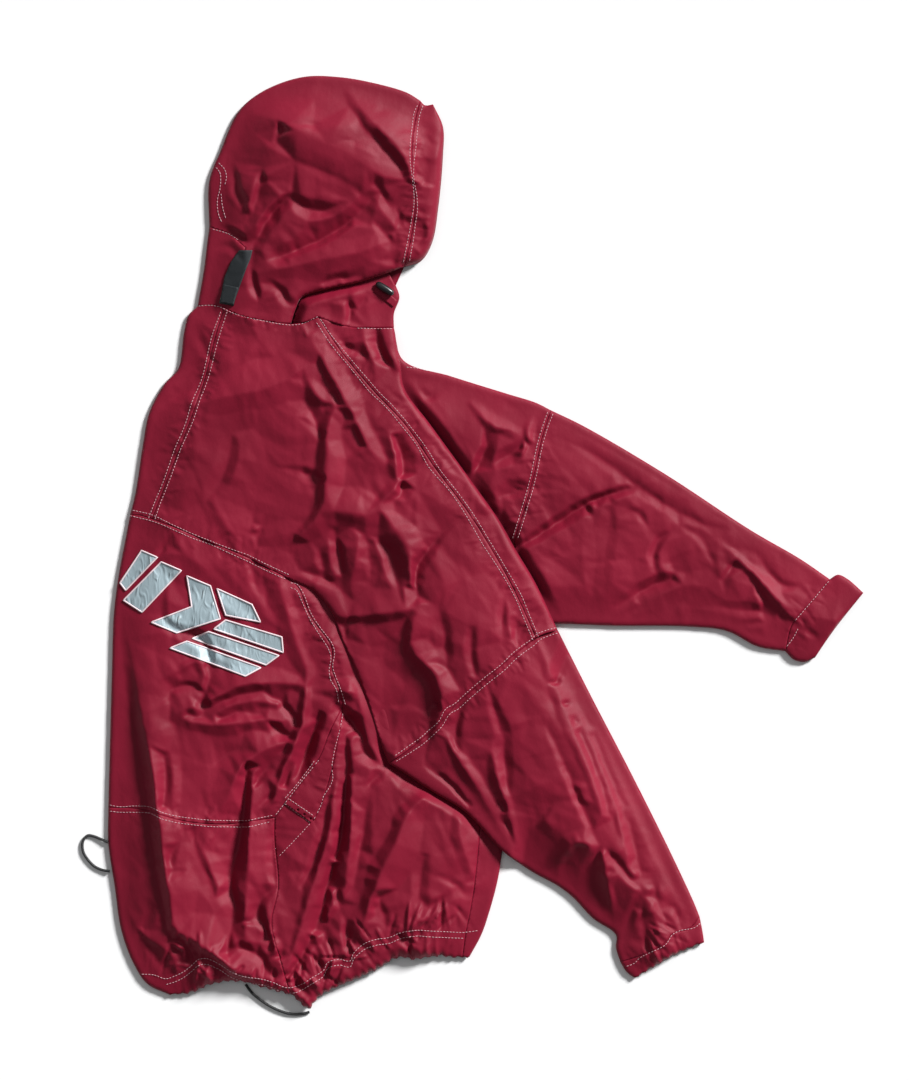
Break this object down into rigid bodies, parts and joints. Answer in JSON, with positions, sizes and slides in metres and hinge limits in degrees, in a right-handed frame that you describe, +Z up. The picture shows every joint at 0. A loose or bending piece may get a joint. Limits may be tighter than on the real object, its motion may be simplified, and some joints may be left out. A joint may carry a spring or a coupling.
{
  "type": "hooded anorak laid out on its side",
  "caption": "Hooded pull-over anorak in thin crinkled nylon, laid flat on its side with hood, gathered hem and cuffs, twin-needle seams and silver patches on the back.",
  "frame": {"origin": "on the surface it lies on, under the middle of its outline", "axes": "+Y along the body from hem to hood, +X towards the sleeves and the hood opening, +Z up from the surface"},
  "size_m": [0.8594, 1.0328, 0.0287],
  "materials": {
    "nylon_red": "thin crinkled woven nylon, slight sheen",
    "applique_silver": "silver coated cloth, crinkled",
    "webbing_black": "ribbed webbing",
    "plastic_black": "moulded",
    "cord_black": "braided cord"
  },
  "bodies": {
    "root": {"yoke_back_right": "nylon_red", "yoke_back_left": "nylon_red", "back_middle": "nylon_red", "back_lower": "nylon_red", "front_right": "nylon_red", "front_left": "nylon_red", "shoulder_front_right": "nylon_red", "shoulder_front_left": "nylon_red", "pocket_facing": "nylon_red", "pocket_welt": "nylon_red", "sleeve_right": "nylon_red", "cuff_right": "nylon_red", "sleeve_left": "nylon_red", "cuff_left": "nylon_red", "hood_main": "nylon_red", "hood_brim": "nylon_red", "hood_rear": "nylon_red", "collar": "nylon_red", "hood_strap": "webbing_black", "cord_lock": "plastic_black", "cord_lock_tab": "nylon_red", "hem_cord_left": "cord_black", "hem_cord_bottom": "cord_black", "applique_bar_1": "applique_silver", "applique_bar_2": "applique_silver", "applique_chevron": "applique_silver", "applique_kite": "applique_silver", "applique_stripe_1": "applique_silver", "applique_stripe_2": "applique_silver", "applique_stripe_3": "applique_silver"}
  },
  "joints": []
}
